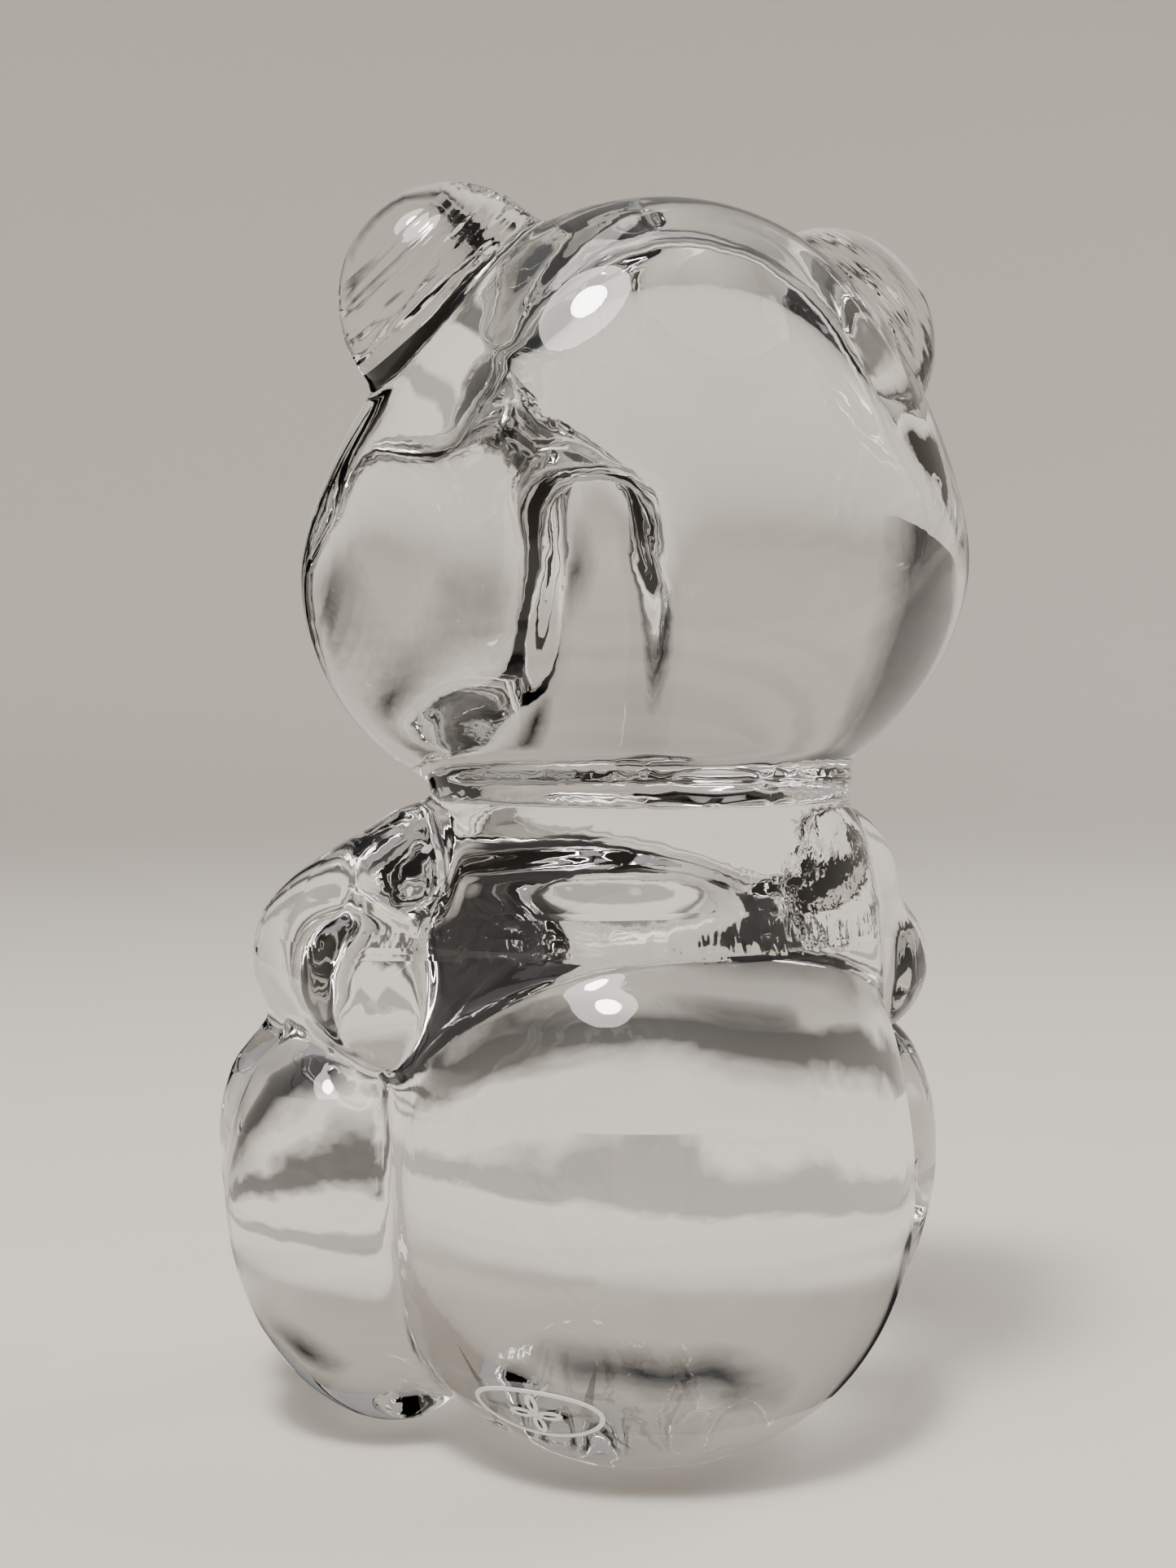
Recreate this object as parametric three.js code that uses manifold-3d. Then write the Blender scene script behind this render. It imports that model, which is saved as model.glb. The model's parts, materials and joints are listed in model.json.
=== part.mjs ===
// A sitting bear in clear pressed glass, with a small oval label on its side.
// Millimetres, Z up, the bear faces -Y and sits with its flat base on Z = 0.
import * as THREE from "three";
import { mergeVertices } from "three/addons/utils/BufferGeometryUtils.js";
import Module from "manifold-3d";

const wasm = await Module();
wasm.setup();

// ---- Driving dimensions -------------------------------------------------
const GAP = 0.3; // gap left at each moulded crease
const LATHE_STEPS = 32; // facets round a turned form
const BALL_STEPS = [22, 14]; // facets round and along a rounded lobe
const CAP_STEPS = 7; // facets over the round end of a limb
const OVAL_STEPS = 9; // facets over a quarter of a flat oval
const PROFILE_STEPS = 1.6; // points along a turned form for each one given
const WELD = 1e-4; // vertices closer than this are one
const ROOM = 120; // side of the blocks that trim a lobe: more than the whole bear

const HEAD_Y = 0.6; // the head sits this far behind the base centre
const HEAD_DEPTH = 0.84; // head depth as a share of its width
const HEAD_LEAN = 0.18; // how far the head leans back for each millimetre it rises
const HEAD_MIDDLE = 58; // the height the lean turns about
const HEAD_PROFILE = [
  [15.0, 45.2], [17.0, 46.3], [19.8, 49.0], [22.7, 53.2], [23.8, 58.2], [23.4, 61.8],
  [21.4, 67.0], [18.7, 71.9], [15.7, 76.1], [11.6, 79.9], [6.2, 82.4], [0, 83.1],
];

const TORSO_Y = 2.1;
const TORSO_DEPTH = 0.67;
const TORSO_PROFILE = [
  [17.2, 23.0], [17.8, 29.0], [17.6, 34.5], [16.9, 38.6], [15.6, 42.2], [14.9, 43.4],
  [14.9, 44.9],
];

const BODY_Y = 1.8; // the rounded seat sits a little behind the base centre
const BODY_DEPTH = 0.95;
const BODY_HEART = [0, 1.8, 15]; // the point the seat swells from
const BODY_PROFILE = [
  [7.6, 0], [9.6, 0.8], [13.2, 3.0], [16.8, 7.6], [18.5, 12.6], [18.9, 17.3],
  [18.2, 23.0], [16.8, 28.4], [14.0, 33.0], [8.2, 36.2], [0, 37.2],
];

const THIGH = { at: [17.8, -6.2, 14.0], r: [9.3, 9.2, 14.2], turn: 15 };
const FOOT = { at: [17.1, -12.6, 14.2], r: [8.5, 8.8, 14.5], turn: 20 };
const LEG_INNER = 1.0; // the legs stay this far from the middle plane

const SHOULDER = { at: [14.2, -0.8, 37.2], r: [6.6, 7.2, 6.4] };
const ELBOW = [17.2, -0.6, 31.6];
const PAW = [18.4, -12.2, 32.3];
const ARM_R = 6.2;

const EAR = { at: [14.3, 3.0, 76.2], r: [7.9, 5.0, 7.4], turn: 45 };
const EAR_CUP = { at: [15.6, -2.0, 77.5], r: [5.0, 2.4, 4.4], turn: 45 };

const MUZZLE = { at: [0, -18.4, 54.4], r: [8.6, 6.8, 6.2] };
const NOSE = { at: [0, -24.4, 57.6], r: [2.9, 1.8, 2.0] };
const EYE = { at: [5.2, -18.6, 61.2], r: [2.8, 1.7, 5.4], yaw: 13 };

const LABEL_AT = [12.5, 11.8, 5.3]; // middle of the label on the seat
const LABEL_TILT = 33; // how far the label faces down, degrees
const LABEL_SIZE = [9.8, 5.0];
const LABEL_LIFT = [1.018, 1.03]; // inner and outer skin of the film, as swells of the seat
const PRINT_LIFT = [1.046, 1.056]; // inner and outer skin of the printed marks
const RING_INSET = 0.8; // the ring's outside is this much smaller than the film
const RING_WIDTH = 0.45;
const STAMP_LENGTH = 8; // reach of the prisms that cut the label out of the seat's skin
const PETAL = { reach: 0.7, r: [0.75, 0.42], turns: [0, 90, 180, 270] };

// ---- Solids -------------------------------------------------------------
function solidOf(geometry) {
  const bare = geometry.clone();
  bare.deleteAttribute("normal");
  bare.deleteAttribute("uv");
  const welded = mergeVertices(bare, WELD);
  return new wasm.Manifold(
    new wasm.Mesh({
      numProp: 3,
      vertProperties: welded.attributes.position.array,
      triVerts: new Uint32Array(welded.index.array),
    }),
  );
}

function geometryOf(solid) {
  const mesh = solid.getMesh();
  const geometry = new THREE.BufferGeometry();
  geometry.setAttribute("position", new THREE.BufferAttribute(mesh.vertProperties, 3));
  geometry.setIndex(new THREE.BufferAttribute(mesh.triVerts, 1));
  const flat = geometry.toNonIndexed();
  flat.computeVertexNormals();
  return flat;
}

// A turned form: a profile of [radius, height] pairs, smoothed, turned round Z.
function turned(profile, y, depth, grow = 0) {
  const curve = new THREE.SplineCurve(profile.map(([r, z]) => new THREE.Vector2(r, z)));
  const drawn = curve.getPoints(Math.round(profile.length * PROFILE_STEPS));
  const smooth = drawn.map((p) => [Math.max(p.x, 0), p.y]);
  const wide = smooth.map(([r, z]) => new THREE.Vector2(r > 0 ? r + grow : 0, z));
  const first = wide[0];
  const last = wide[wide.length - 1];
  const points = [new THREE.Vector2(0, first.y - grow), new THREE.Vector2(first.x, first.y - grow)];
  points.push(...wide.slice(1, -1));
  points.push(new THREE.Vector2(last.x, last.y + grow));
  if (last.x > 0) points.push(new THREE.Vector2(0, last.y + grow));
  const lathe = new THREE.LatheGeometry(points, LATHE_STEPS);
  lathe.rotateX(Math.PI / 2);
  lathe.scale(1, depth, 1);
  lathe.translate(0, y, 0);
  return lathe;
}

// A rounded lobe, leaned about Y by `turn` degrees and about Z by `yaw` degrees.
function lobe({ at, r, turn = 0, yaw = 0 }, side = 1, grow = 0) {
  const ball = new THREE.SphereGeometry(1, BALL_STEPS[0], BALL_STEPS[1]);
  ball.scale(r[0] + grow, r[1] + grow, r[2] + grow);
  ball.rotateY(side * THREE.MathUtils.degToRad(turn));
  ball.rotateZ(side * THREE.MathUtils.degToRad(yaw));
  ball.translate(side * at[0], at[1], at[2]);
  return solidOf(ball);
}

// A round limb from one point to another.
function limb(from, to, r, side, grow = 0) {
  const a = new THREE.Vector3(side * from[0], from[1], from[2]);
  const b = new THREE.Vector3(side * to[0], to[1], to[2]);
  const capsule = new THREE.CapsuleGeometry(r + grow, a.distanceTo(b), CAP_STEPS, BALL_STEPS[0]);
  const along = b.clone().sub(a).normalize();
  const turn = new THREE.Quaternion().setFromUnitVectors(new THREE.Vector3(0, 1, 0), along);
  capsule.applyQuaternion(turn);
  capsule.translate((a.x + b.x) / 2, (a.y + b.y) / 2, (a.z + b.z) / 2);
  return solidOf(capsule);
}

// A big cube that fills the room on one side of a plane.
function block(x, y, z) {
  const cube = new THREE.BoxGeometry(ROOM, ROOM, ROOM);
  cube.translate(x, y, z);
  return solidOf(cube);
}

// ---- Whole lobes, each also in a slightly larger size that cuts its neighbours
const UNDER_FLOOR = block(0, 0, -ROOM / 2);
const LEAN = new THREE.Matrix4().set(
  1, 0, 0, 0,
  0, 1, HEAD_LEAN, -HEAD_LEAN * HEAD_MIDDLE,
  0, 0, 1, 0,
  0, 0, 0, 1,
);
const headForm = (grow = 0) =>
  solidOf(turned(HEAD_PROFILE, HEAD_Y, HEAD_DEPTH, grow).applyMatrix4(LEAN));
const torsoForm = (grow = 0) => solidOf(turned(TORSO_PROFILE, TORSO_Y, TORSO_DEPTH, grow));
const bodyForm = (grow = 0) => solidOf(turned(BODY_PROFILE, BODY_Y, BODY_DEPTH, grow));
const legForm = (side, grow = 0) => lobe(THIGH, side, grow).add(lobe(FOOT, side, grow));
const armForm = (side, grow = 0) =>
  lobe(SHOULDER, side, grow).add(limb(ELBOW, PAW, ARM_R, side, grow));

function seat() {
  return bodyForm().subtract(UNDER_FLOOR);
}

function leg(side) {
  const outside = block(side * (ROOM / 2 + LEG_INNER), 0, 0);
  return legForm(side).intersect(outside).subtract(bodyForm(GAP)).subtract(UNDER_FLOOR);
}

function torso() {
  return torsoForm().subtract(bodyForm(GAP)).subtract(legForm(1, GAP)).subtract(legForm(-1, GAP));
}

function arm(side) {
  return armForm(side)
    .subtract(torsoForm(GAP))
    .subtract(bodyForm(GAP))
    .subtract(legForm(side, GAP))
    .subtract(headForm(GAP));
}

function head() {
  return headForm().subtract(torsoForm(GAP));
}

function ear(side) {
  return lobe(EAR, side).subtract(lobe(EAR_CUP, side)).subtract(headForm(GAP));
}

function muzzle() {
  return lobe(MUZZLE).subtract(headForm(GAP));
}

function nose() {
  return lobe(NOSE).subtract(lobe(MUZZLE, 1, GAP)).subtract(headForm(GAP));
}

function eye(side) {
  return lobe(EYE, side).subtract(headForm(GAP)).subtract(lobe(MUZZLE, 1, GAP));
}

// ---- Label --------------------------------------------------------------
// The skin between two swells of the seat about its middle.
function seatSkin([inner, outer]) {
  const swell = (k) => {
    const [x, y, z] = BODY_HEART;
    return bodyForm().translate([-x, -y, -z]).scale([k, k, k]).translate([x, y, z]);
  };
  return swell(outer).subtract(swell(inner)).subtract(UNDER_FLOOR);
}

// A prism that stands out of the seat where the label sits.
function stamp(shape, turn = 0) {
  const settings = { depth: STAMP_LENGTH, bevelEnabled: false, curveSegments: OVAL_STEPS };
  const prism = new THREE.ExtrudeGeometry(shape, settings);
  const flat = Math.atan2(LABEL_AT[1] - BODY_Y, LABEL_AT[0]);
  prism.translate(0, 0, -STAMP_LENGTH / 2);
  prism.rotateZ(THREE.MathUtils.degToRad(turn));
  prism.rotateX(Math.PI / 2);
  prism.rotateX(THREE.MathUtils.degToRad(LABEL_TILT));
  prism.rotateZ(flat + Math.PI / 2);
  prism.translate(...LABEL_AT);
  return solidOf(prism);
}

function oval(width, height, x = 0) {
  const shape = new THREE.Shape();
  shape.absellipse(x, 0, width / 2, height / 2, 0, 2 * Math.PI);
  return shape;
}

function labelFilm() {
  return seatSkin(LABEL_LIFT).intersect(stamp(oval(...LABEL_SIZE)));
}

function labelRing() {
  const [width, height] = LABEL_SIZE.map((size) => size - RING_INSET);
  const shape = oval(width, height);
  shape.holes.push(oval(width - 2 * RING_WIDTH, height - 2 * RING_WIDTH));
  return seatSkin(PRINT_LIFT).intersect(stamp(shape));
}

function labelFlower() {
  const petal = oval(2 * PETAL.r[0], 2 * PETAL.r[1], PETAL.reach);
  const petals = PETAL.turns.map((turn) => stamp(petal, turn));
  return seatSkin(PRINT_LIFT).intersect(petals.reduce((a, b) => a.add(b)));
}

// ---- The part -----------------------------------------------------------
const GLASS = { color: 0xe8f0ef, roughness: 0.03, metalness: 0 };
const FILM = { color: 0xf2f4f0, roughness: 0.2, metalness: 0 };
const PRINT = { color: 0xd8dcd8, roughness: 0.4, metalness: 0 };

const group = new THREE.Group();
group.name = "glass_bear";

function place(name, solid, finish) {
  const mesh = new THREE.Mesh(geometryOf(solid), new THREE.MeshStandardMaterial(finish));
  mesh.name = name;
  group.add(mesh);
}

place("seat", seat(), GLASS);
place("torso", torso(), GLASS);
place("head", head(), GLASS);
place("muzzle", muzzle(), GLASS);
place("nose", nose(), GLASS);
for (const [side, hand] of [[1, "left"], [-1, "right"]]) {
  place(`${hand}_leg`, leg(side), GLASS);
  place(`${hand}_arm`, arm(side), GLASS);
  place(`${hand}_ear`, ear(side), GLASS);
  place(`${hand}_eye`, eye(side), GLASS);
}
place("label_film", labelFilm(), FILM);
place("label_ring", labelRing(), PRINT);
place("label_flower", labelFlower(), PRINT);

export default group;
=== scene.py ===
"""A sitting bear in clear pressed glass, with a small clear label low on its side."""

import json
import math

import bmesh
import bpy
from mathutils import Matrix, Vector

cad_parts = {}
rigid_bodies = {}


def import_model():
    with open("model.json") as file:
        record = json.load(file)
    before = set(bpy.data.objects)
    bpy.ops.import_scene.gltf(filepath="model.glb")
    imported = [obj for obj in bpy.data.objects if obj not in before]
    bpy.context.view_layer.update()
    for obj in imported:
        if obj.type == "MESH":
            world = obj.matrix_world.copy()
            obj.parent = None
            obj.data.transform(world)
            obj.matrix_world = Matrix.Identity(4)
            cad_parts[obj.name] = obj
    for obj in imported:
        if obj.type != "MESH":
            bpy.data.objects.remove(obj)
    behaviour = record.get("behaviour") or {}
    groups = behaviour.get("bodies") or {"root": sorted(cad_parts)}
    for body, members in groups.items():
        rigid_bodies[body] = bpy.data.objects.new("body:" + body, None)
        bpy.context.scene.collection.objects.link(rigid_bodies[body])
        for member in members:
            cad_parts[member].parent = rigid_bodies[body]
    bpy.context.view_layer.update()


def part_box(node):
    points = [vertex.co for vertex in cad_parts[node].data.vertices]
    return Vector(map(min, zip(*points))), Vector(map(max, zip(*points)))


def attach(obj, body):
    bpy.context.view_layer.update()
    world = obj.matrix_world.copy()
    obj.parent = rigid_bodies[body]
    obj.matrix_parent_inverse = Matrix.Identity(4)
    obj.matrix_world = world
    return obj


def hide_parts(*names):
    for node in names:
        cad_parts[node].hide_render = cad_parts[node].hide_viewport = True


bl_info = {
    "name": "Glass Bear",
    "version": (1, 0, 0),
    "blender": (4, 5, 0),
    "location": "View3D > Sidebar > Glass Bear",
    "description": "Models a pressed glass bear, its clear label and a small studio",
    "category": "Object",
}

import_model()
MM = 0.001
GLASS_NODES = [
    "seat", "torso", "head", "muzzle", "nose",
    "left_leg", "right_leg", "left_arm", "right_arm",
    "left_ear", "right_ear", "left_eye", "right_eye",
]

# ---- The one place that comes from the frame -----------------------------
LABEL_LOW, LABEL_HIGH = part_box("label_film")
LABEL_MIDDLE = (LABEL_LOW + LABEL_HIGH) / 2


def at_mm(*place):
    return Vector(place) * MM


LOBE_STEPS = 32
BALL_STEPS = 24
CAGE_LEVELS = 2
WELD = 0.01 * MM  # places closer than this count as level

# Rings that a lobe is drawn with: half width and height, in millimetres.
HEAD_RINGS = [
    (14.2, 44.0), (15.0, 45.6), (16.9, 46.4), (19.8, 49.0), (22.7, 53.2), (23.9, 58.2),
    (23.5, 61.8), (21.5, 67.0), (18.8, 71.9), (15.8, 76.1), (11.8, 80.0), (6.6, 82.7),
    (2.0, 83.5),
]
HEAD_BACK = 0.6
HEAD_DEPTH = 0.84
HEAD_LEAN = 0.18
HEAD_MIDDLE = 58.0
NECK_RINGS = [(14.6, 43.2), (15.35, 44.3), (15.45, 45.0), (15.35, 45.7), (14.6, 46.6)]
NECK_BACK = 1.7
NECK_DEPTH = 0.72
TORSO_RINGS = [
    (16.8, 21.0), (17.5, 24.0), (17.9, 29.0), (17.7, 34.5), (17.0, 38.6), (15.9, 42.0),
    (15.0, 43.6), (13.6, 44.4),
]
TORSO_BACK = 2.1
TORSO_DEPTH = 0.66
SEAT_RINGS = [
    (7.2, -1.0), (9.0, 0.2), (13.4, 2.7), (17.0, 7.4), (18.7, 12.6), (19.1, 17.3),
    (18.5, 23.0), (17.4, 28.4), (15.2, 32.6), (10.0, 36.0), (2.0, 37.4),
]
SEAT_BACK = 1.8
SEAT_DEPTH = 0.95

# Rounded lobes: the left one's middle and half sizes, in millimetres, and its turn in degrees.
THIGH = ((17.8, -6.2, 14.0), (9.5, 9.4, 14.5), (0, 15, 0))
FOOT = ((17.1, -12.6, 14.2), (8.7, 9.0, 14.8), (0, 20, 0))
SHOULDER = ((14.2, -0.8, 37.2), (6.7, 7.3, 6.5), (0, 0, 0))
EYE = ((5.2, -18.6, 61.2), (2.8, 1.75, 5.4), (0, 0, 13))
EAR = ((14.3, 3.0, 76.2), (8.1, 5.1, 7.6), (0, 45, 0))
EAR_CUP = ((15.6, -2.3, 77.5), (5.3, 3.3, 4.9), (0, 45, 0))
MUZZLE = ((0, -17.4, 54.2), (8.6, 6.6, 6.2), (0, 0, 0))
BELLY = ((0, -5.0, 27.0), (14.0, 10.5, 12.5), (0, 0, 0))
LAP = ((0, -8.0, 16.5), (24.0, 13.4, 17.0), (0, 0, 0))
NOSE = ((0, -24.0, 57.4), (3.0, 2.1, 2.1), (0, 0, 0))
# Round limbs: the two ends and their radii, in millimetres.
SLEEVE = ((14.8, -1.6, 37.2), (18.0, -10.6, 33.4), 6.4, 6.1)
FOREARM = ((17.2, -0.6, 31.6), (18.4, -12.2, 32.3), 6.4, 6.2)

# Where the pressing is worn smooth: the box of places, in millimetres, and smoothing passes.
ANY = 1000
WORN = [
    ((0, 22), (-ANY, -5), (-ANY, 36), 300),  # lap and inner sides of the feet
    ((0, 25), (-ANY, -3), (-ANY, 36), 25),  # the edge of that
    ((0, ANY), (-ANY, -12), (46, 70), 30),  # face
    ((12, ANY), (-ANY, ANY), (31, 43), 10),  # arms
    ((0, ANY), (4, ANY), (30, 38), 14),  # waist crease
]
SHARP_GLASS = math.radians(50)  # edges sharper than this are not shaded smooth

# ---- Moulded relief of the glass ----------------------------------------
EAR_SLANT = math.sqrt(0.5)  # the ears point out at 45 degrees
EAR_ROOT = 64.6 * MM  # distance from the base's middle, along that slant, where an ear starts
EAR_FUR = (0.7 * MM, 3.4 * MM, 5.0 * MM)  # past the root: fur whole, fur thinning, fur gone
EAR_BACK = 2 * MM
FUR_COMB = (4.5, 0.7, 1.4)  # fineness out along the ear, across it and through it
STREAK_COMB = (2.0, 2.0, 0.7)
HEM_COMB = (1.0, 1.0, 0.3)
BEHIND = (2 * MM, 6 * MM)
HEM = (33.6 * MM, 34.4 * MM, 35.2 * MM, 36.4 * MM)  # heights: none, whole, whole, none
BACK = (34 * MM, 36 * MM, 41 * MM, 43 * MM)
BACK_SIDE = (-6 * MM, 1 * MM)
STREAKS_END = (24 * MM, 34 * MM)

# ---- Label --------------------------------------------------------------
OVAL_STEPS = 64
OVAL_RINGS = 5
OVAL_SHARE = 6.5  # each ring of faces is this part of the half width
STAND_OFF = 4 * MM  # a flat piece starts this far out, before it is laid on the glass
PRINT_LIFT = 3  # the print lies this many film thicknesses off the glass
RING_INSET = 0.35 * MM
RING_LINE = 0.3 * MM
PETAL_HALF = (0.85 * MM, 0.4 * MM)
PETAL_REACH = 1.0 * MM
PETAL_TURNS = (0, 90, 180, 270)
HEART_HALF = (0.32 * MM, 0.32 * MM)
SHARP_LABEL = math.radians(40)

# ---- Studio -------------------------------------------------------------
FLOOR_OUTLINE = [(300, 0), (620, 0), (800, 20), (900, 120), (930, 400), (940, 750)]
FLOOR_INSET = 150 * MM
FLOOR_RIM = 200 * MM  # only the corners further out than this are drawn up into the wall
CARD_RAGGEDNESS = 14 * MM
BAND_EDGE = 4 * MM
RING_RADIUS = 200 * MM
RING_WIDTH = 185 * MM
RING_HEIGHT = 0.05 * MM
RING_FADE = (34 * MM, 42 * MM)
RING_BANDS = [(45 * MM, 58 * MM, 0.85), (70 * MM, 86 * MM, 0.5)]
# Cards: the way to the camera's right, towards it, and height; size; turn in degrees; and the
# distances from the middle between which the card fades, as shares of its width.
SIDE_CARD = ((-0.22, -0.26, 0.13), (0.26, 0.6), 38, (0.3, 0.48))
LOW_CARD = ((0.07, -0.232, 0.078), (0.14, 0.08), -19, (0.02, 0.46))
WORLD_COLOUR = (0.85, 0.84, 0.82, 1)
WORLD_STRENGTH = 0.5
LIGHT_AIM = (0, 0, 0.04)
# Lights: the same three distances, diameter, watts and colour.
KEY_LIGHT = ((-0.12, 0.25, 0.62), 0.11, 4, (1, 0.97, 0.93))
HALO_LIGHT = ((-0.14, 0.26, 0.66), 0.3, 3, (1, 0.97, 0.93))
FILL_LIGHT = ((0.6, -0.2, 0.6), 0.5, 4, (1, 0.98, 0.96))
SENSOR = 36  # millimetres
CLIP = (0.005, 20)


# ---- Modelling helpers --------------------------------------------------
def deselect():
    for thing in bpy.context.view_layer.objects:
        thing.select_set(False)


def activate(piece):
    deselect()
    piece.hide_set(False)
    piece.select_set(True)
    bpy.context.view_layer.objects.active = piece


def in_edit(piece):
    activate(piece)
    bpy.ops.object.mode_set(mode="EDIT")
    bpy.ops.mesh.select_mode(type="VERT")


def out_of_edit():
    bpy.ops.object.mode_set(mode="OBJECT")


def apply_modifier(piece, kind, **settings):
    activate(piece)
    modifier = piece.modifiers.new(kind.title(), kind)
    for key, value in settings.items():
        setattr(modifier, key, value)
    bpy.ops.object.modifier_apply(modifier=modifier.name)


def settle(piece):
    """Puts the piece's place into its mesh."""
    activate(piece)
    bpy.ops.object.transform_apply(location=True, rotation=True, scale=True)


def select_where(piece, test):
    """Selects the vertices of the piece in edit mode that pass a test on their place."""
    mesh = bmesh.from_edit_mesh(piece.data)
    mesh.select_mode = {"VERT"}
    chosen = 0
    for vertex in mesh.verts:
        vertex.select = test(vertex.co)
        chosen += vertex.select
    mesh.select_flush_mode()
    bmesh.update_edit_mesh(piece.data)
    if not chosen:
        raise RuntimeError(f"nothing selected on {piece.name}")


def smooth_cage(piece):
    apply_modifier(piece, "SUBSURF", levels=CAGE_LEVELS, render_levels=CAGE_LEVELS)
    return piece


def stacked(name, rings, back, depth, lean=0.0, middle=0.0):
    """A rounded lobe drawn ring over ring: a disc extruded and resized up its outline."""
    deselect()
    width, height = rings[0]
    place = at_mm(0, back + lean * (height - middle), height)
    bpy.ops.mesh.primitive_circle_add(
        vertices=LOBE_STEPS, radius=width * MM, fill_type="NGON", location=(0, 0, 0)
    )
    piece = bpy.context.active_object
    piece.name = name
    in_edit(piece)
    bpy.ops.mesh.select_all(action="SELECT")
    bpy.ops.transform.resize(value=(1, depth, 1))
    bpy.ops.transform.translate(value=place)
    for (w0, z0), (w1, z1) in zip(rings, rings[1:]):
        step = at_mm(0, lean * (z1 - z0), z1 - z0)
        bpy.ops.mesh.extrude_region_move(TRANSFORM_OT_translate={"value": step})
        place = place + step
        bpy.ops.transform.resize(value=(w1 / w0, w1 / w0, 1), center_override=place)
    bpy.ops.mesh.select_all(action="SELECT")
    bpy.ops.mesh.normals_make_consistent(inside=False)
    out_of_edit()
    return smooth_cage(piece)


def ball(name, at, radii, turn=(0, 0, 0)):
    """A rounded lobe at its size, turn and place."""
    deselect()
    bpy.ops.mesh.primitive_uv_sphere_add(
        segments=BALL_STEPS, ring_count=BALL_STEPS // 2, radius=1
    )
    piece = bpy.context.active_object
    piece.name = name
    piece.scale = radii
    piece.rotation_euler = turn
    piece.location = at
    settle(piece)
    return piece


def lobe(name, measures):
    """A rounded lobe from its middle, half sizes and turn."""
    middle, half, turn = measures
    piece = ball(name, at_mm(*middle), at_mm(*half), [math.radians(angle) for angle in turn])
    return smooth_cage(piece)


def limb(name, measures):
    """A round limb between two points: a ball whose upper half is slid along."""
    first, last, first_radius, last_radius = measures
    start, end = at_mm(*first), at_mm(*last)
    radius_start, radius_end = first_radius * MM, last_radius * MM
    along = end - start
    piece = ball(name, (0, 0, 0), (radius_start,) * 3)
    in_edit(piece)
    select_where(piece, lambda co: co.z > -WELD)
    share = radius_end / radius_start
    bpy.ops.transform.resize(value=(share, share, share), center_override=(0, 0, 0))
    bpy.ops.transform.translate(value=(0, 0, along.length))
    out_of_edit()
    piece.rotation_euler = along.to_track_quat("Z", "Y").to_euler()
    piece.location = start
    settle(piece)
    return smooth_cage(piece)


def join(name, pieces):
    deselect()
    for piece in pieces:
        piece.select_set(True)
    bpy.context.view_layer.objects.active = pieces[0]
    bpy.ops.object.join()
    joined = bpy.context.active_object
    joined.name = name
    joined.data.name = name
    return joined


def mirrored(piece):
    """The same lobe on the bear's other side, with its own mesh."""
    activate(piece)
    bpy.ops.object.duplicate()
    twin = bpy.context.active_object
    twin.scale = (-1, 1, 1)
    settle(twin)
    in_edit(twin)
    bpy.ops.mesh.select_all(action="SELECT")
    bpy.ops.mesh.normals_make_consistent(inside=False)
    out_of_edit()
    return twin


def cut_with(piece, cutter):
    apply_modifier(piece, "BOOLEAN", operation="DIFFERENCE", object=cutter, solver="EXACT")
    bpy.data.objects.remove(cutter, do_unlink=True)
    return piece


def soften(piece, across, along, height, passes):
    """Smooths one part of the pressing, as polishing wears a crease away."""

    def inside(co):
        places = zip((abs(co.x), co.y, co.z), (across, along, height))
        return all(low * MM <= value <= high * MM for value, (low, high) in places)

    in_edit(piece)
    select_where(piece, inside)
    bpy.ops.mesh.vertices_smooth(factor=0.5, repeat=passes)
    out_of_edit()


# ---- Lobes of the bear --------------------------------------------------
def lobes():
    """Every lobe of the bear, overlapping its neighbours."""
    singles = [
        stacked("head_lobe", HEAD_RINGS, HEAD_BACK, HEAD_DEPTH, HEAD_LEAN, HEAD_MIDDLE),
        stacked("neck_lobe", NECK_RINGS, NECK_BACK, NECK_DEPTH),
        stacked("torso_lobe", TORSO_RINGS, TORSO_BACK, TORSO_DEPTH),
        stacked("seat_lobe", SEAT_RINGS, SEAT_BACK, SEAT_DEPTH),
    ]
    pairs = [
        lobe("thigh", THIGH),
        lobe("foot", FOOT),
        lobe("shoulder", SHOULDER),
        limb("sleeve", SLEEVE),
        limb("forearm", FOREARM),
        lobe("eye", EYE),
        cut_with(lobe("ear", EAR), lobe("ear_cup", EAR_CUP)),
    ]
    twins = [mirrored(piece) for piece in pairs]
    front = [
        lobe("muzzle_lobe", MUZZLE),
        lobe("belly", BELLY),
        lobe("lap", LAP),
        lobe("nose_lobe", NOSE),
    ]
    return [*singles, *pairs, *twins, *front]


# ---- Shader maths -------------------------------------------------------
class Value:
    """A node socket that can be used in Python expressions."""

    def __init__(self, shader, socket):
        self.shader = shader
        self.socket = socket

    def math(self, operation, *others, clamp=False):
        settings = {"operation": operation, "use_clamp": clamp}
        return self.shader.add("ShaderNodeMath", settings, self, *others)

    def __add__(self, other):
        return self.math("ADD", other)

    __radd__ = __add__

    def __mul__(self, other):
        return self.math("MULTIPLY", other)

    __rmul__ = __mul__

    def __sub__(self, other):
        return self.math("SUBTRACT", other)

    def __rsub__(self, other):
        return self.shader.add("ShaderNodeMath", {"operation": "SUBTRACT"}, other, self)

    def clamped(self):
        return self.math("ADD", 0.0, clamp=True)


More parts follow.
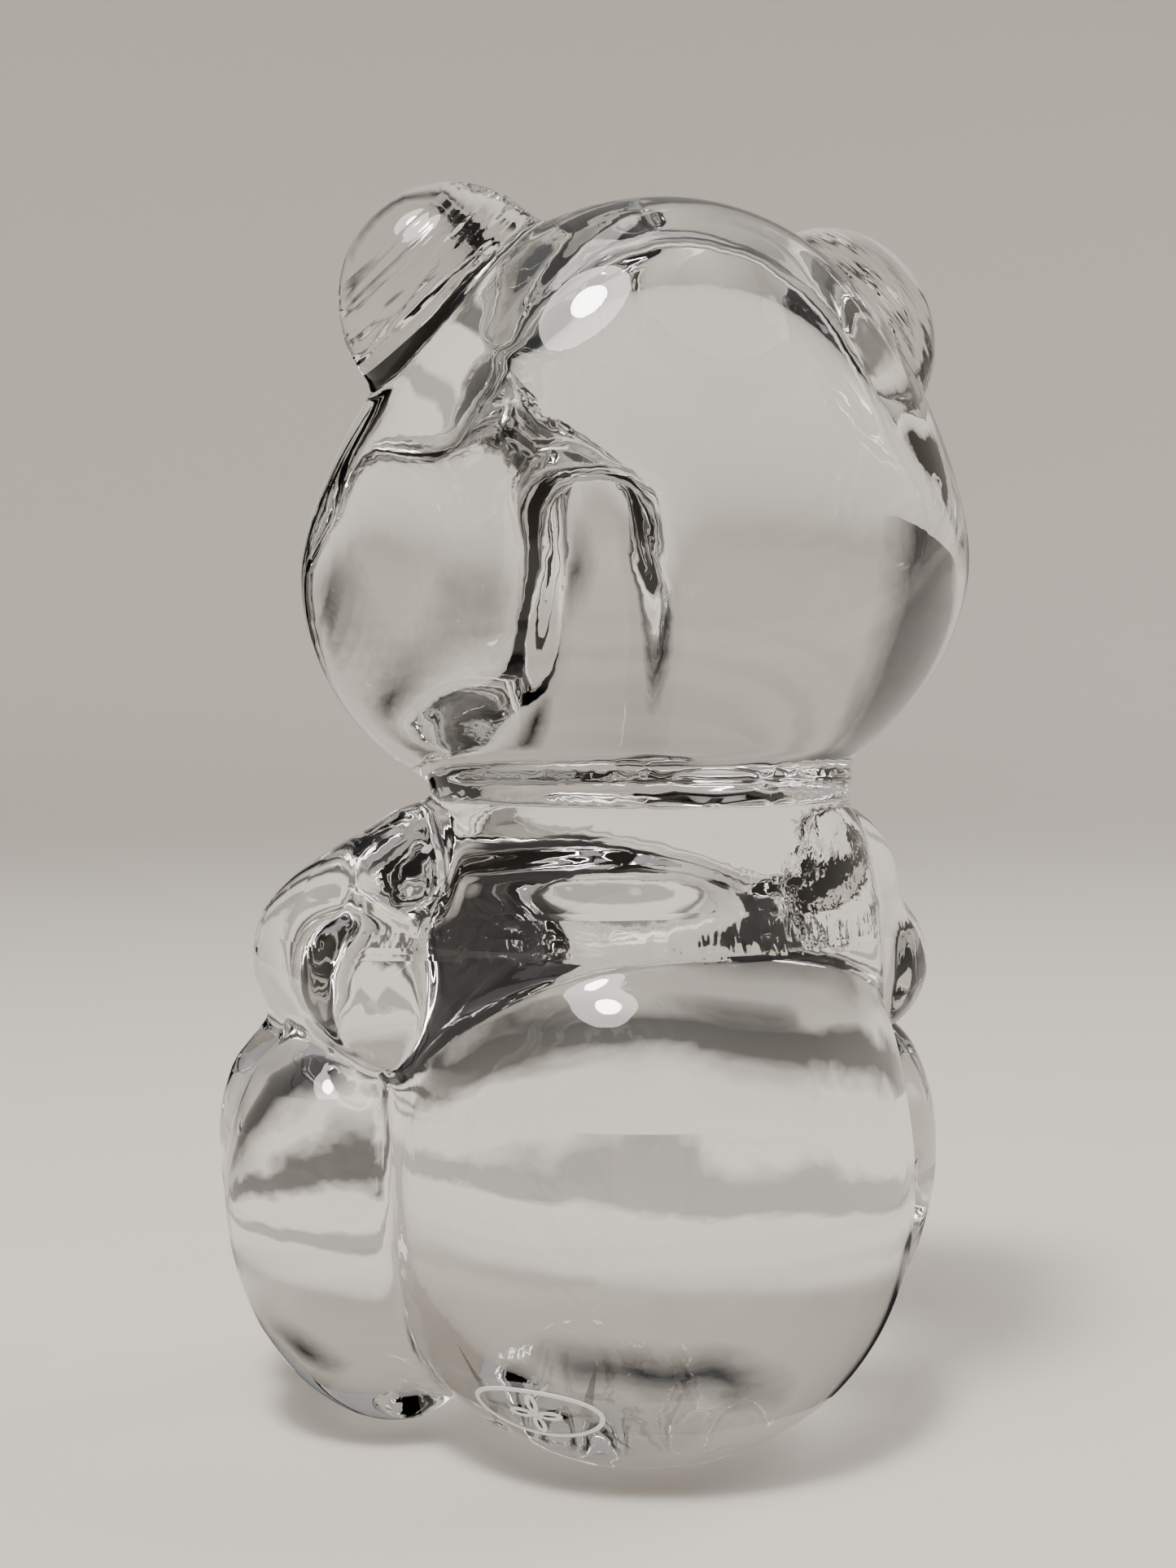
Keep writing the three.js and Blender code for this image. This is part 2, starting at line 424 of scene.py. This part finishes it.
class Shader:
    """A material's node tree, built from expressions."""

    def __init__(self, name):
        self.material = bpy.data.materials.new(name)
        self.material.use_nodes = True
        self.nodes = self.material.node_tree.nodes
        self.links = self.material.node_tree.links
        self.surface = self.nodes["Principled BSDF"]

    def put(self, socket, value):
        if isinstance(value, Value):
            self.links.new(value.socket, socket)
        else:
            socket.default_value = value

    def add(self, kind, settings=None, *values, out=0, **named):
        node = self.nodes.new(kind)
        for key, value in (settings or {}).items():
            setattr(node, key, value)
        for socket, value in zip(node.inputs, values):
            self.put(socket, value)
        for key, value in named.items():
            self.put(node.inputs[key.replace("_", " ")], value)
        return Value(self, node.outputs[out])

    def place(self):
        return self.add("ShaderNodeTexCoord", out="Object")

    def split(self, place):
        """The three coordinates of a place."""
        first = self.add("ShaderNodeSeparateXYZ", None, place)
        return [Value(self, socket) for socket in first.socket.node.outputs]

    def set(self, **sockets):
        for key, value in sockets.items():
            self.put(self.surface.inputs[key.replace("_", " ")], value)


def ramp(value, start, end):
    """Nothing before the start, one past the end."""
    return ((value - start) * (1 / (end - start))).clamped()


def between(value, low, whole, thinning, high):
    """One in the middle of a range, falling to nothing at its ends."""
    return ramp(value, low, whole) * (1 - ramp(value, thinning, high))


def glass_finish(settings):
    shader = Shader("clear_glass")
    place = shader.place()
    x, y, z = shader.split(place)

    def noise(axes, comb, scale, detail):
        stretched = [axis * share for axis, share in zip(axes, comb)]
        at = shader.add("ShaderNodeCombineXYZ", None, *stretched)
        return shader.add("ShaderNodeTexNoise", None, Vector=at, Scale=scale, Detail=detail)

    side = x.math("ABSOLUTE")
    ripple = noise((x, y, z), (1, 1, 1), 60.0, 1.0)
    grain = noise((x, y, z), (1, 1, 1), 900.0, 2.0)
    outward = (side + z) * EAR_SLANT
    fur = noise((outward, (z - side) * EAR_SLANT, y), FUR_COMB, 210.0, 1.5)
    whole, thinning, gone = [EAR_ROOT + past for past in EAR_FUR]
    ears = between(outward, EAR_ROOT, whole, thinning, gone) * ramp(y, 0, EAR_BACK)
    behind = ramp(y, *BEHIND)
    hem = noise((x, y, z), HEM_COMB, 900.0, 2.0) * behind * between(z, *HEM)
    back = behind * between(z, *BACK) * (1 - ramp(x, *BACK_SIDE))
    streaks = noise((x, y, z), STREAK_COMB, 48.0, 1.0) * (1 - ramp(z, *STREAKS_END))
    height = ripple * settings.waviness + grain * (settings.pitting + back * settings.grain_depth)
    height = height + fur * ears * settings.fur_depth + hem * settings.hem_depth
    height = height + streaks * settings.streak_depth
    bump = shader.add("ShaderNodeBump", None, Strength=1.0, Distance=1.0, Height=height)
    shader.set(
        Base_Color=(*settings.glass_colour, 1),
        Roughness=0.0,
        IOR=settings.ior,
        Transmission_Weight=1.0,
        Normal=bump,
    )
    return shader.material


def film_finish(settings):
    shader = Shader("label_film")
    haze = shader.add("ShaderNodeTexNoise", None, Vector=shader.place(), Scale=900.0, Detail=2.0)
    shader.set(
        Base_Color=(*settings.film_colour, 1),
        Roughness=haze * 0.2 + 0.12,
        Alpha=settings.film_strength,
        IOR=1.46,
    )
    return shader.material


def print_finish(settings):
    shader = Shader("label_print")
    place = shader.place()
    speckle = shader.add("ShaderNodeTexNoise", None, Vector=place, Scale=2600.0, Detail=2.0)
    shader.set(
        Base_Color=(*settings.print_colour, 1),
        Roughness=speckle * 0.2 + 0.3,
        Alpha=0.92,
    )
    return shader.material


def dress(piece, material, slot, *nodes):
    """Gives a finished piece its finish, and ties it to the frame."""
    piece.data.materials.clear()
    piece.data.materials.append(material)
    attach(piece, "root")
    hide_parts(*nodes)


# ---- What a user would change -------------------------------------------
class GlassSettings(bpy.types.PropertyGroup):
    grain_size: bpy.props.FloatProperty(
        name="Mesh grain", description="Size of the faces that the lobes are fused with",
        default=0.5 * MM, min=0.4 * MM, max=2 * MM, unit="LENGTH",
    )
    crease_passes: bpy.props.IntProperty(
        name="Crease softness", description="Smoothing passes over the moulded creases",
        default=5, min=0, max=40,
    )
    waviness: bpy.props.FloatProperty(
        name="Waviness", description="Height of the slow waves that fire polishing leaves",
        default=0.05 * MM, min=0, max=1 * MM, unit="LENGTH",
    )
    pitting: bpy.props.FloatProperty(
        name="Pitting", description="Height of the fine grain of the mould",
        default=0.002 * MM, min=0, max=0.1 * MM, unit="LENGTH",
    )
    fur_depth: bpy.props.FloatProperty(
        name="Fur depth", description="Height of the moulded fur at the roots of the ears",
        default=0.55 * MM, min=0, max=2 * MM, unit="LENGTH",
    )
    hem_depth: bpy.props.FloatProperty(
        name="Hem depth", description="Height of the moulded fur over the crease of the waist",
        default=0.12 * MM, min=0, max=2 * MM, unit="LENGTH",
    )
    grain_depth: bpy.props.FloatProperty(
        name="Back grain", description="Height of the fine grain on the right of the back",
        default=0.04 * MM, min=0, max=1 * MM, unit="LENGTH",
    )
    streak_depth: bpy.props.FloatProperty(
        name="Streaks", description="Height of the upright streaks in the lower body",
        default=0.9 * MM, min=0, max=3 * MM, unit="LENGTH",
    )
    glass_colour: bpy.props.FloatVectorProperty(
        name="Glass colour", description="Faint tint of the crystal",
        default=(0.945, 0.948, 0.935), min=0, max=1, subtype="COLOR",
    )
    ior: bpy.props.FloatProperty(
        name="Refractive index", description="Refractive index of the crystal",
        default=1.52, min=1.3, max=1.8,
    )


class LabelSettings(bpy.types.PropertyGroup):
    length: bpy.props.FloatProperty(
        name="Length", description="Long axis of the oval label",
        default=9.8 * MM, min=4 * MM, max=20 * MM, unit="LENGTH",
    )
    width: bpy.props.FloatProperty(
        name="Width", description="Short axis of the oval label",
        default=5.2 * MM, min=2 * MM, max=20 * MM, unit="LENGTH",
    )
    tilt: bpy.props.FloatProperty(
        name="Tilt", description="How far the label faces down",
        default=math.radians(33), unit="ROTATION",
    )
    film_colour: bpy.props.FloatVectorProperty(
        name="Film colour", description="Colour of the film's faint haze",
        default=(0.42, 0.43, 0.42), min=0, max=1, subtype="COLOR",
    )
    film_strength: bpy.props.FloatProperty(
        name="Film strength", description="How much of the glass the film hides",
        default=0.22, min=0, max=1, subtype="FACTOR",
    )
    print_colour: bpy.props.FloatVectorProperty(
        name="Print colour", description="Colour of the ring and flower",
        default=(0.95, 0.955, 0.94), min=0, max=1, subtype="COLOR",
    )
    print_thickness: bpy.props.FloatProperty(
        name="Print thickness", description="Thickness of the film and of the print over it",
        default=0.06 * MM, min=0.01 * MM, max=1 * MM, unit="LENGTH",
    )


class StudioSettings(bpy.types.PropertyGroup):
    azimuth: bpy.props.FloatProperty(
        name="Camera azimuth", description="Direction the camera looks from, round the bear",
        default=math.radians(157), unit="ROTATION",
    )
    distance: bpy.props.FloatProperty(
        name="Camera distance", description="Level distance from the bear's axis to the camera",
        default=130 * MM, unit="LENGTH",
    )
    height: bpy.props.FloatProperty(
        name="Camera height", description="Height of the camera over the floor",
        default=48.2 * MM, unit="LENGTH",
    )
    pitch: bpy.props.FloatProperty(
        name="Camera pitch", description="How far the camera looks down",
        default=math.radians(1.6), unit="ROTATION",
    )
    sideways: bpy.props.FloatProperty(
        name="Camera slide", description="How far the camera is slid to its left",
        default=3.28 * MM, unit="LENGTH",
    )
    lens: bpy.props.FloatProperty(
        name="Lens", description="Focal length on a full frame, set by the frame's long side",
        default=42.6, unit="CAMERA",
    )
    floor_colour: bpy.props.FloatVectorProperty(
        name="Floor colour", description="Colour of the plain floor and wall",
        default=(0.6, 0.565, 0.52), min=0, max=1, subtype="COLOR",
    )
    card_colour: bpy.props.FloatVectorProperty(
        name="Card colour", description="Colour of the dark cards that give the glass its edges",
        default=(0.012, 0.013, 0.015), min=0, max=1, subtype="COLOR",
    )


# ---- Body ---------------------------------------------------------------
class GLASSBEAR_OT_body(bpy.types.Operator):
    """Fuses the lobes into one pressing of clear glass with soft moulded creases"""

    bl_idname = "glassbear.body"
    bl_label = "Glass body"

    def execute(self, context):
        settings = context.scene.glass_bear
        piece = join("bear_glass", lobes())
        apply_modifier(
            piece, "REMESH", mode="VOXEL", voxel_size=settings.grain_size, adaptivity=0.0
        )
        for across, along, height, passes in WORN:
            soften(piece, across, along, height, passes)
        apply_modifier(piece, "SMOOTH", factor=0.5, iterations=settings.crease_passes)
        in_edit(piece)
        bpy.ops.mesh.select_all(action="SELECT")
        bpy.ops.mesh.bisect(
            plane_co=(0, 0, 0), plane_no=(0, 0, 1), clear_inner=True, use_fill=True
        )
        out_of_edit()
        activate(piece)
        bpy.ops.object.shade_smooth_by_angle(angle=SHARP_GLASS)
        dress(piece, glass_finish(settings), "glass", *GLASS_NODES)
        return {"FINISHED"}


# ---- Label --------------------------------------------------------------
def label_disc(name, half, middle=(0, 0), hole=0.0, turn=0.0):
    """A flat oval with rings of faces, or an oval ring, drawn about the label's own middle."""
    deselect()
    bpy.ops.mesh.primitive_circle_add(vertices=OVAL_STEPS, radius=1, fill_type="NGON")
    piece = bpy.context.active_object
    piece.name = name
    in_edit(piece)
    bpy.ops.mesh.select_mode(type="FACE")
    bpy.ops.mesh.select_all(action="SELECT")
    bpy.ops.transform.resize(value=(half[0], half[1], 1))
    if hole:
        bpy.ops.mesh.inset(thickness=hole)
        bpy.ops.mesh.delete(type="FACE")
    else:
        for _ in range(OVAL_RINGS):
            bpy.ops.mesh.inset(thickness=half[1] / OVAL_SHARE)
    bpy.ops.mesh.select_all(action="SELECT")
    bpy.ops.transform.translate(value=(middle[0], middle[1], 0))
    out_of_edit()
    piece.rotation_euler = (0, 0, turn)
    settle(piece)
    return piece


def stick(piece, settings, lift):
    """Lays a flat piece of the label on the glass, a little proud of it, and gives it its wall."""
    out = Vector((LABEL_MIDDLE.x, LABEL_MIDDLE.y - SEAT_BACK * MM, 0)).normalized()
    facing = out * math.cos(settings.tilt) - Vector((0, 0, math.sin(settings.tilt)))
    piece.rotation_euler = facing.to_track_quat("Z", "Y").to_euler()
    piece.location = LABEL_MIDDLE + facing * STAND_OFF
    glass = bpy.data.objects["bear_glass"]
    apply_modifier(
        piece, "SHRINKWRAP", target=glass, wrap_method="PROJECT", use_project_z=True,
        use_negative_direction=True, use_positive_direction=False, offset=lift,
    )
    settle(piece)
    apply_modifier(piece, "SOLIDIFY", thickness=settings.print_thickness, offset=1.0)
    activate(piece)
    bpy.ops.object.shade_smooth_by_angle(angle=SHARP_LABEL)
    return piece


class GLASSBEAR_OT_label(bpy.types.Operator):
    """Sticks the clear oval label with its ring and flower low on the bear's side"""

    bl_idname = "glassbear.label"
    bl_label = "Label"

    def execute(self, context):
        settings = context.scene.glass_bear_label
        half = (settings.length / 2, settings.width / 2)
        thin = settings.print_thickness
        film = stick(label_disc("label_clear_film", half), settings, thin)
        dress(film, film_finish(settings), "film", "label_film")
        paint = print_finish(settings)
        lift = PRINT_LIFT * thin
        ring_half = (half[0] - RING_INSET, half[1] - RING_INSET)
        ring = label_disc("label_printed_ring", ring_half, hole=RING_LINE)
        stick(ring, settings, lift)
        dress(ring, paint, "print", "label_ring")
        petals = [
            label_disc("petal", PETAL_HALF, (PETAL_REACH, 0), turn=math.radians(turn))
            for turn in PETAL_TURNS
        ]
        heart = label_disc("heart", HEART_HALF)
        flower = stick(join("label_printed_flower", [*petals, heart]), settings, lift)
        dress(flower, paint, "print", "label_flower")
        return {"FINISHED"}


# ---- Studio -------------------------------------------------------------
def floor(settings):
    deselect()
    bpy.ops.mesh.primitive_circle_add(
        vertices=48, radius=FLOOR_OUTLINE[0][0] * MM, fill_type="NGON"
    )
    piece = bpy.context.active_object
    piece.name = "studio_floor"
    in_edit(piece)
    bpy.ops.mesh.select_all(action="SELECT")
    bpy.ops.mesh.inset(thickness=FLOOR_INSET)
    select_where(piece, lambda co: co.length > FLOOR_RIM)
    for (r0, z0), (r1, z1) in zip(FLOOR_OUTLINE, FLOOR_OUTLINE[1:]):
        bpy.ops.mesh.extrude_region_move(TRANSFORM_OT_translate={"value": (0, 0, (z1 - z0) * MM)})
        bpy.ops.transform.resize(value=(r1 / r0, r1 / r0, 1), center_override=(0, 0, z1 * MM))
    out_of_edit()
    apply_modifier(piece, "SUBSURF", levels=2, render_levels=2)
    activate(piece)
    bpy.ops.object.shade_smooth()
    shader = Shader("studio_floor")
    shader.set(Base_Color=(*settings.floor_colour, 1), Roughness=0.75, Specular_IOR_Level=0.2)
    piece.data.materials.append(shader.material)


def card(name, settings, measures):
    """A dark upright card that only the glass sees, by refraction and reflection."""
    at, size, turn, fade = measures
    middle = seen_at(settings, *at)
    deselect()
    bpy.ops.mesh.primitive_plane_add(size=1, location=(0, 0, 0))
    piece = bpy.context.active_object
    piece.name = name
    piece.scale = (*size, 1)
    piece.rotation_euler = (math.pi / 2, 0, settings.azimuth + math.radians(turn))
    piece.location = middle
    settle(piece)
    hide_card(piece, settings, middle, [share * size[0] for share in fade], size[0] / size[1])


def hide_card(piece, settings, middle, fade, squash=1.0, bands=()):
    """Gives a card its dark colour, and lets it fade to nothing between two distances.

    Each band is a pair of distances past the fade, between which it is dark again, and how dark.
    """
    shader = Shader(piece.name)
    spread = Vector((1, 1, squash))
    flat = shader.add("ShaderNodeVectorMath", {"operation": "MULTIPLY"}, shader.place(), spread)
    away = shader.add(
        "ShaderNodeVectorMath", {"operation": "DISTANCE"}, flat, spread * middle, out="Value"
    )
    uneven = shader.add("ShaderNodeTexNoise", None, Vector=flat, Scale=90.0, Detail=3.0)
    away = away + (uneven - 0.5) * CARD_RAGGEDNESS
    dark = 1 - ramp(away, *fade)
    for start, end, strength in bands:
        inside = ramp(away, start, start + BAND_EDGE) * (1 - ramp(away, end - BAND_EDGE, end))
        dark = dark + inside * strength
    shader.set(Base_Color=(*settings.card_colour, 1), Roughness=0.9, Specular_IOR_Level=0.0)
    clear = shader.add("ShaderNodeBsdfTransparent")
    mix = shader.add("ShaderNodeMixShader", None, dark.clamped(), clear)
    shader.links.new(shader.surface.outputs[0], mix.socket.node.inputs[2])
    shader.links.new(mix.socket, shader.nodes["Material Output"].inputs["Surface"])
    piece.data.materials.append(shader.material)
    piece.visible_camera = False
    piece.visible_diffuse = False
    piece.visible_shadow = False


def dark_ring(settings):
    """A dark round card under the bear with a hole for its base."""
    deselect()
    bpy.ops.mesh.primitive_circle_add(
        vertices=64, radius=RING_RADIUS, fill_type="NGON", location=(0, 0, RING_HEIGHT)
    )
    piece = bpy.context.active_object
    piece.name = "studio_dark_ring"
    settle(piece)
    in_edit(piece)
    bpy.ops.mesh.select_mode(type="FACE")
    bpy.ops.mesh.select_all(action="SELECT")
    bpy.ops.mesh.inset(thickness=RING_WIDTH)
    bpy.ops.mesh.delete(type="FACE")
    out_of_edit()
    hide_card(piece, settings, Vector((0, 0, 0)), RING_FADE, bands=RING_BANDS)


def area_light(name, settings, measures):
    away, size, power, colour = measures
    light = bpy.data.lights.new(name, "AREA")
    light.shape = "DISK"
    light.size = size
    light.energy = power
    light.color = colour
    lamp = bpy.data.objects.new(name, light)
    bpy.context.scene.collection.objects.link(lamp)
    lamp.location = seen_at(settings, *away)
    aim = Vector(LIGHT_AIM) - lamp.location
    lamp.rotation_euler = aim.to_track_quat("-Z", "Y").to_euler()
    return lamp


def seen_at(settings, right, toward, height):
    """A place given by the camera's right, the way towards the camera, and height."""
    turn = settings.azimuth
    across = Vector((math.cos(turn), math.sin(turn), 0))
    near_side = Vector((math.sin(turn), -math.cos(turn), 0))
    return across * right + near_side * toward + Vector((0, 0, height))


def lights(settings):
    world = bpy.data.worlds.new("studio")
    world.use_nodes = True
    background = world.node_tree.nodes["Background"]
    background.inputs["Color"].default_value = WORLD_COLOUR
    background.inputs["Strength"].default_value = WORLD_STRENGTH
    bpy.context.scene.world = world
    area_light("key", settings, KEY_LIGHT)
    area_light("halo", settings, HALO_LIGHT)
    fill = area_light("fill", settings, FILL_LIGHT)
    fill.visible_glossy = False


def camera(settings):
    data = bpy.data.cameras.new("view")
    data.lens = settings.lens
    data.sensor_width = SENSOR
    data.clip_start, data.clip_end = CLIP
    eye = bpy.data.objects.new("view", data)
    bpy.context.scene.collection.objects.link(eye)
    eye.location = seen_at(settings, -settings.sideways, settings.distance, settings.height)
    eye.rotation_euler = (math.pi / 2 - settings.pitch, 0, settings.azimuth)
    bpy.context.scene.camera = eye


class GLASSBEAR_OT_stage(bpy.types.Operator):
    """Sets a plain pale floor, soft lights, the dark cards and the camera"""

    bl_idname = "glassbear.stage"
    bl_label = "Studio"

    def execute(self, context):
        settings = context.scene.glass_bear_studio
        floor(settings)
        dark_ring(settings)
        card("studio_side_card", settings, SIDE_CARD)
        card("studio_low_card", settings, LOW_CARD)
        lights(settings)
        camera(settings)
        return {"FINISHED"}


class GLASSBEAR_PT_panel(bpy.types.Panel):
    bl_label = "Glass Bear"
    bl_idname = "GLASSBEAR_PT_panel"
    bl_space_type = "VIEW_3D"
    bl_region_type = "UI"
    bl_category = "Glass Bear"

    def draw(self, context):
        scene = context.scene
        groups = [
            (scene.glass_bear, "glassbear.body"),
            (scene.glass_bear_label, "glassbear.label"),
            (scene.glass_bear_studio, "glassbear.stage"),
        ]
        for settings, operator in groups:
            box = self.layout.box()
            for name in type(settings).__annotations__:
                box.prop(settings, name)
            box.operator(operator)


CLASSES = [
    GlassSettings, LabelSettings, StudioSettings,
    GLASSBEAR_OT_body, GLASSBEAR_OT_label, GLASSBEAR_OT_stage, GLASSBEAR_PT_panel,
]


def register():
    for cls in CLASSES:
        bpy.utils.register_class(cls)
    bpy.types.Scene.glass_bear = bpy.props.PointerProperty(type=GlassSettings)
    bpy.types.Scene.glass_bear_label = bpy.props.PointerProperty(type=LabelSettings)
    bpy.types.Scene.glass_bear_studio = bpy.props.PointerProperty(type=StudioSettings)


def unregister():
    del bpy.types.Scene.glass_bear_studio
    del bpy.types.Scene.glass_bear_label
    del bpy.types.Scene.glass_bear
    for cls in reversed(CLASSES):
        bpy.utils.unregister_class(cls)


def main():
    register()
    bpy.ops.glassbear.body()
    bpy.ops.glassbear.label()
    bpy.ops.glassbear.stage()


if __name__ == "__main__":
    main()
